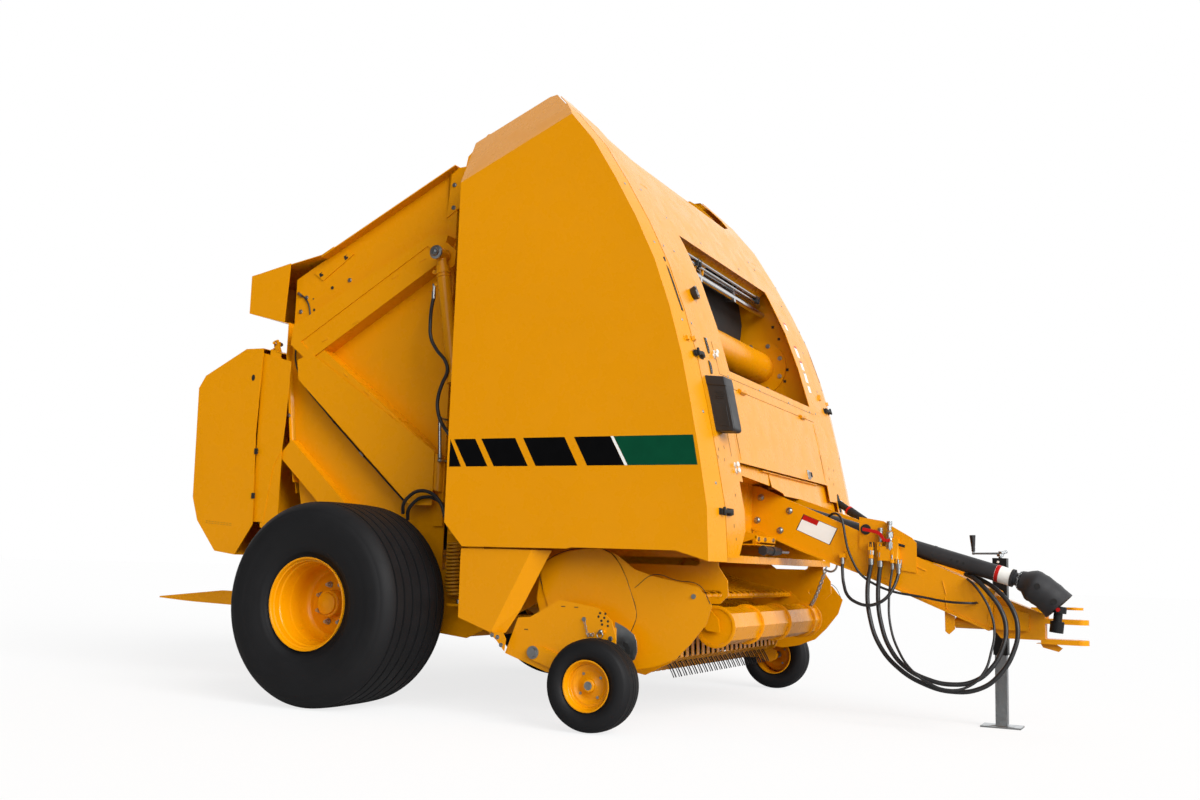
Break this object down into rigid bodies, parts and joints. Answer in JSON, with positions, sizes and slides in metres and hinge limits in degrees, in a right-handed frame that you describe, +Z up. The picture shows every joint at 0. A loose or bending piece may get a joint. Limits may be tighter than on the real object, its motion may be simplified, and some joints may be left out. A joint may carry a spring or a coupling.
{
  "type": "round baler",
  "caption": "Trailed round baler with a tined pickup, lifting tailgate, hinged side shields, net box, bale ramp, jack and driveline.",
  "frame": {"origin": "bottom centre of the whole machine's box, on the ground", "axes": "+X forward to the hitch, +Y to the machine's left, +Z up"},
  "size_m": [5.223, 3.05, 3.083],
  "materials": {
    "painted_yellow": "gloss",
    "painted_black": "satin",
    "zinc": "satin",
    "steel": "polished",
    "tyre": "matte",
    "belting": "matte",
    "plastic": "matte",
    "hose": "satin"
  },
  "bodies": {
    "chassis": {"main_frame": "painted_yellow", "side_wall_left": "painted_yellow", "side_wall_right": "painted_yellow", "belt_tension_tube": "painted_yellow", "window_rollers": "steel", "front_belts": "belting", "front_cover": "painted_yellow", "driveline_shroud": "painted_yellow", "lower_side_box_left": "painted_yellow", "lower_side_box_right": "painted_yellow", "lift_spring_left": "painted_yellow", "lift_spring_right": "painted_yellow", "tongue": "painted_yellow", "hitch": "painted_yellow", "jack_tube": "painted_black", "jack_crank": "zinc", "gearbox": "painted_black", "driveline_guard": "plastic", "valve_plate": "painted_yellow", "document_box": "plastic", "hose_feed": "hose", "hose_return": "hose", "hose_pilot": "hose", "beam_cable": "hose", "hose_loop": "hose"},
    "access_door": {"access_door": "painted_yellow"},
    "jack_leg": {"jack_leg": "zinc"},
    "driveline_yoke": {"driveline_yoke": "painted_black"},
    "main_wheel_left": {"main_left_tyre": "tyre", "main_left_rim": "painted_yellow"},
    "main_wheel_right": {"main_right_tyre": "tyre", "main_right_rim": "painted_yellow"},
    "gauge_wheel_left": {"gauge_left_tyre": "tyre", "gauge_left_rim": "painted_yellow"},
    "gauge_wheel_right": {"gauge_right_tyre": "tyre", "gauge_right_rim": "painted_yellow"},
    "pickup": {"pickup_frame": "painted_yellow", "stripper_bands": "painted_yellow", "crop_divider_left": "painted_yellow", "crop_divider_right": "painted_yellow", "gauge_arm_left": "painted_yellow", "gauge_arm_right": "painted_yellow"},
    "pickup_reel": {"pickup_reel": "painted_black"},
    "windguard": {"windguard_frame": "painted_yellow"},
    "windguard_roller": {"windguard_roller": "painted_yellow"},
    "tailgate": {"tailgate_side_left": "painted_yellow", "tailgate_side_right": "painted_yellow", "tailgate_cross": "painted_yellow", "tailgate_belts": "belting", "tailgate_cover": "painted_yellow", "net_housing": "painted_yellow"},
    "net_cover": {"net_cover": "painted_yellow"},
    "cylinder_barrel_left": {"cylinder_barrel_left": "painted_yellow"},
    "cylinder_barrel_right": {"cylinder_barrel_right": "painted_yellow"},
    "cylinder_rod_left": {"cylinder_rod_left": "steel"},
    "cylinder_rod_right": {"cylinder_rod_right": "steel"},
    "side_shield_left": {"side_shield_left": "painted_yellow"},
    "side_shield_right": {"side_shield_right": "painted_yellow"},
    "bale_ramp": {"bale_ramp": "painted_yellow"}
  },
  "joints": [
    {"name": "main_wheel_left_spin", "type": "hinge", "parent": "chassis", "child": "main_wheel_left", "pos_m": [-0.7685, 1.255, 0.497], "axis": [0, 1, 0], "continuous": true},
    {"name": "main_wheel_right_spin", "type": "hinge", "parent": "chassis", "child": "main_wheel_right", "pos_m": [-0.7685, -1.255, 0.497], "axis": [0, 1, 0], "continuous": true},
    {"name": "pickup_lift", "type": "hinge", "parent": "chassis", "child": "pickup", "pos_m": [0.2815, 0, 0.75], "axis": [0, -1, 0], "range_deg": [0, 9]},
    {"name": "gauge_wheel_left_spin", "type": "hinge", "parent": "pickup", "child": "gauge_wheel_left", "pos_m": [0.6775, 1.3, 0.203], "axis": [0, 1, 0], "continuous": true},
    {"name": "gauge_wheel_right_spin", "type": "hinge", "parent": "pickup", "child": "gauge_wheel_right", "pos_m": [0.6775, -1.3, 0.203], "axis": [0, 1, 0], "continuous": true},
    {"name": "pickup_reel_spin", "type": "hinge", "parent": "pickup", "child": "pickup_reel", "pos_m": [0.7015, 0, 0.38], "axis": [0, 1, 0], "continuous": true},
    {"name": "windguard_lift", "type": "hinge", "parent": "pickup", "child": "windguard", "pos_m": [0.4315, 0, 0.69], "axis": [0, -1, 0], "range_deg": [0, 6]},
    {"name": "windguard_roller_spin", "type": "hinge", "parent": "windguard", "child": "windguard_roller", "pos_m": [1.0315, 0, 0.455], "axis": [0, 1, 0], "continuous": true},
    {"name": "tailgate_lift", "type": "hinge", "parent": "chassis", "child": "tailgate", "pos_m": [-0.1485, 0, 2.8], "axis": [0, 1, 0], "range_deg": [0, 60]},
    {"name": "cylinder_left_swing", "type": "hinge", "parent": "tailgate", "child": "cylinder_barrel_left", "pos_m": [-0.4615, 0.95, 2.323], "axis": [0, 1, 0], "range_deg": [-66, 0]},
    {"name": "cylinder_right_swing", "type": "hinge", "parent": "tailgate", "child": "cylinder_barrel_right", "pos_m": [-0.4615, -0.95, 2.323], "axis": [0, 1, 0], "range_deg": [-66, 0]},
    {"name": "cylinder_left_stroke", "type": "slide", "parent": "cylinder_barrel_left", "child": "cylinder_rod_left", "axis": [0.1716, 0, -0.9852], "range_m": [0, 0.56]},
    {"name": "cylinder_right_stroke", "type": "slide", "parent": "cylinder_barrel_right", "child": "cylinder_rod_right", "axis": [0.1716, 0, -0.9852], "range_m": [0, 0.56]},
    {"name": "net_cover_open", "type": "hinge", "parent": "tailgate", "child": "net_cover", "pos_m": [-1.6535, 0, 1.93], "axis": [0, 1, 0], "range_deg": [0, 55]},
    {"name": "side_shield_left_open", "type": "hinge", "parent": "chassis", "child": "side_shield_left", "pos_m": [-0.1435, 1.24482, 0.906], "axis": [-0.0235, -0.03, 0.9993], "range_deg": [0, 90]},
    {"name": "side_shield_right_open", "type": "hinge", "parent": "chassis", "child": "side_shield_right", "pos_m": [-0.1435, -1.24482, 0.906], "axis": [0.0235, -0.03, -0.9993], "range_deg": [0, 90]},
    {"name": "access_door_open", "type": "hinge", "parent": "chassis", "child": "access_door", "pos_m": [1.08896, 0, 1.5895], "axis": [0, -1, 0], "range_deg": [0, 80]},
    {"name": "bale_ramp_tip", "type": "hinge", "parent": "chassis", "child": "bale_ramp", "pos_m": [-1.2485, 0, 0.47], "axis": [0, -1, 0], "range_deg": [0, 12], "stiffness_Nm_per_rad": 800, "springref_deg": -25.78},
    {"name": "jack_slide", "type": "slide", "parent": "chassis", "child": "jack_leg", "axis": [0, 0, 1], "range_m": [0, 0.33]},
    {"name": "driveline_yoke_spin", "type": "hinge", "parent": "chassis", "child": "driveline_yoke", "pos_m": [2.4935, -0.135, 0.602], "axis": [-0.1159, 0, -0.9933], "continuous": true}
  ],
  "couplings": [
    {"joint": "cylinder_left_swing", "follows": "tailgate_lift", "ratio": -1.088},
    {"joint": "cylinder_left_stroke", "follows": "tailgate_lift", "m_per_rad": 0.529},
    {"joint": "cylinder_right_swing", "follows": "tailgate_lift", "ratio": -1.088},
    {"joint": "cylinder_right_stroke", "follows": "tailgate_lift", "m_per_rad": 0.529}
  ]
}
